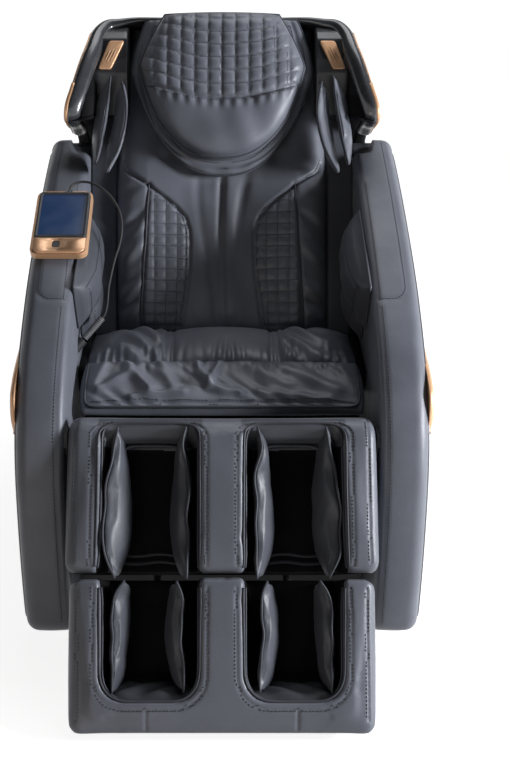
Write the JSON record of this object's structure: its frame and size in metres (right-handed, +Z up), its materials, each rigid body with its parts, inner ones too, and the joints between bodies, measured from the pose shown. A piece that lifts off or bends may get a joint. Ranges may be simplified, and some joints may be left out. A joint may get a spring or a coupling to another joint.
{
  "type": "massage chair",
  "caption": "Padded massage chair with a reclining back, shoulder wings, arm airbags, rising leg rest, sliding foot unit and an arm-mounted remote.",
  "frame": {"origin": "floor level under the middle of the chair's outline", "axes": "+Z up, -Y the way the seated person faces, +X to the viewer's right"},
  "size_m": [0.768, 1.1929, 1.0315],
  "materials": {
    "leather": "soft grained synthetic leather",
    "dark_fabric": "dark supple cover",
    "shell": "glossy moulded shell",
    "copper": "rose copper metallic lacquer",
    "steel": "satin powder coat",
    "rail": "ground",
    "black_plastic": "fine texture",
    "screen": "glossy dark blue display",
    "rubber": "matt",
    "spring": "satin",
    "roller": "satin",
    "switch": "gloss"
  },
  "bodies": {
    "base": {"base_frame": "steel", "base_feet": "rubber", "recline_shaft": "steel", "side_shell_left": "shell", "side_shell_right": "shell", "side_trims": "copper", "arm_body_left": "leather", "arm_body_right": "leather", "arm_pad_left": "leather", "arm_pad_right": "leather", "arm_airbags": "dark_fabric", "seat_tray": "steel", "seat_pad": "leather", "seat_apron": "leather", "remote_holder": "copper", "remote_body": "black_plastic", "remote_screen": "screen", "remote_cord": "rubber", "cord_sleeve": "spring", "cord_gland": "black_plastic", "control_box": "black_plastic", "rear_cover": "shell", "air_pump": "black_plastic", "valve_block": "black_plastic", "power_inlet": "black_plastic"},
    "backrest": {"back_frame": "steel", "carriage_rails": "rail", "back_shell": "shell", "back_pad": "leather", "pillow_base": "leather", "wing_left": "shell", "wing_right": "shell", "wing_trims": "copper", "speaker_grilles": "copper", "shoulder_airbags": "dark_fabric"},
    "pillow": {"head_pillow": "leather"},
    "carriage": {"carriage": "black_plastic", "carriage_motor": "black_plastic"},
    "knead_arm_left": {"knead_arm_left": "steel"},
    "knead_arm_right": {"knead_arm_right": "steel"},
    "roller_upper_left": {"roller_upper_left": "roller"},
    "roller_lower_left": {"roller_lower_left": "roller"},
    "roller_upper_right": {"roller_upper_right": "roller"},
    "roller_lower_right": {"roller_lower_right": "roller"},
    "legrest": {"calf_post_left": "leather", "calf_post_right": "leather", "calf_post_center": "leather", "calf_lining": "dark_fabric", "calf_frame": "steel", "calf_airbags": "dark_fabric"},
    "footrest": {"foot_shoe": "leather", "foot_airbags": "dark_fabric", "foot_frame": "steel"},
    "foot_roller": {"foot_roller": "roller"},
    "home_button": {"home_button": "black_plastic"},
    "power_switch": {"power_switch": "switch"},
    "wheel_left": {"transport_wheel_left": "rubber"},
    "wheel_right": {"transport_wheel_right": "rubber"}
  },
  "joints": [
    {"name": "recline", "type": "hinge", "parent": "base", "child": "backrest", "pos_m": [0, 0.1091, 0.39], "axis": [-1, 0, 0], "range_deg": [0, 45]},
    {"name": "leg_lift", "type": "hinge", "parent": "base", "child": "legrest", "pos_m": [0, -0.26204, 0.41198], "axis": [-1, 0, 0], "range_deg": [0, 55]},
    {"name": "foot_extension", "type": "slide", "parent": "legrest", "child": "footrest", "axis": [0, -0.6018, -0.7986], "range_m": [0, 0.15]},
    {"name": "foot_roller_spin", "type": "hinge", "parent": "footrest", "child": "foot_roller", "pos_m": [0, -0.54287, 0.04762], "axis": [1, 0, 0], "continuous": true},
    {"name": "pillow_flip", "type": "hinge", "parent": "backrest", "child": "pillow", "pos_m": [0, 0.46552, 1.03398], "axis": [-1, 0, 0], "range_deg": [0, 100]},
    {"name": "carriage_travel", "type": "slide", "parent": "backrest", "child": "carriage", "axis": [0, 0.5299, 0.848], "range_m": [-0.1, 0.24]},
    {"name": "knead_left", "type": "hinge", "parent": "carriage", "child": "knead_arm_left", "pos_m": [-0.068, 0.33083, 0.6052], "axis": [1, 0, 0], "range_deg": [-5, 5]},
    {"name": "knead_right", "type": "hinge", "parent": "carriage", "child": "knead_arm_right", "pos_m": [0.068, 0.33083, 0.6052], "axis": [1, 0, 0], "range_deg": [-5, 5]},
    {"name": "home_press", "type": "slide", "parent": "base", "child": "home_button", "axis": [0, 0.4067, -0.9135], "range_m": [0, 0.0012], "stiffness_N_per_m": 400, "springref_m": -0.0006},
    {"name": "switch_rock", "type": "hinge", "parent": "base", "child": "power_switch", "pos_m": [0.026, 0.4971, 0.045], "axis": [1, 0, 0], "range_deg": [-10, 10]},
    {"name": "roller_upper_left_spin", "type": "hinge", "parent": "knead_arm_left", "child": "roller_upper_left", "pos_m": [-0.094, 0.36793, 0.66456], "axis": [1, 0, 0], "continuous": true},
    {"name": "roller_lower_left_spin", "type": "hinge", "parent": "knead_arm_left", "child": "roller_lower_left", "pos_m": [-0.094, 0.29374, 0.54584], "axis": [1, 0, 0], "continuous": true},
    {"name": "wheel_left_spin", "type": "hinge", "parent": "base", "child": "wheel_left", "pos_m": [-0.253, 0.4491, 0.039], "axis": [1, 0, 0], "continuous": true},
    {"name": "roller_upper_right_spin", "type": "hinge", "parent": "knead_arm_right", "child": "roller_upper_right", "pos_m": [0.094, 0.36793, 0.66456], "axis": [1, 0, 0], "continuous": true},
    {"name": "roller_lower_right_spin", "type": "hinge", "parent": "knead_arm_right", "child": "roller_lower_right", "pos_m": [0.094, 0.29374, 0.54584], "axis": [1, 0, 0], "continuous": true},
    {"name": "wheel_right_spin", "type": "hinge", "parent": "base", "child": "wheel_right", "pos_m": [0.253, 0.4491, 0.039], "axis": [1, 0, 0], "continuous": true}
  ],
  "couplings": [
    {"joint": "knead_right", "follows": "knead_left", "ratio": -1}
  ]
}
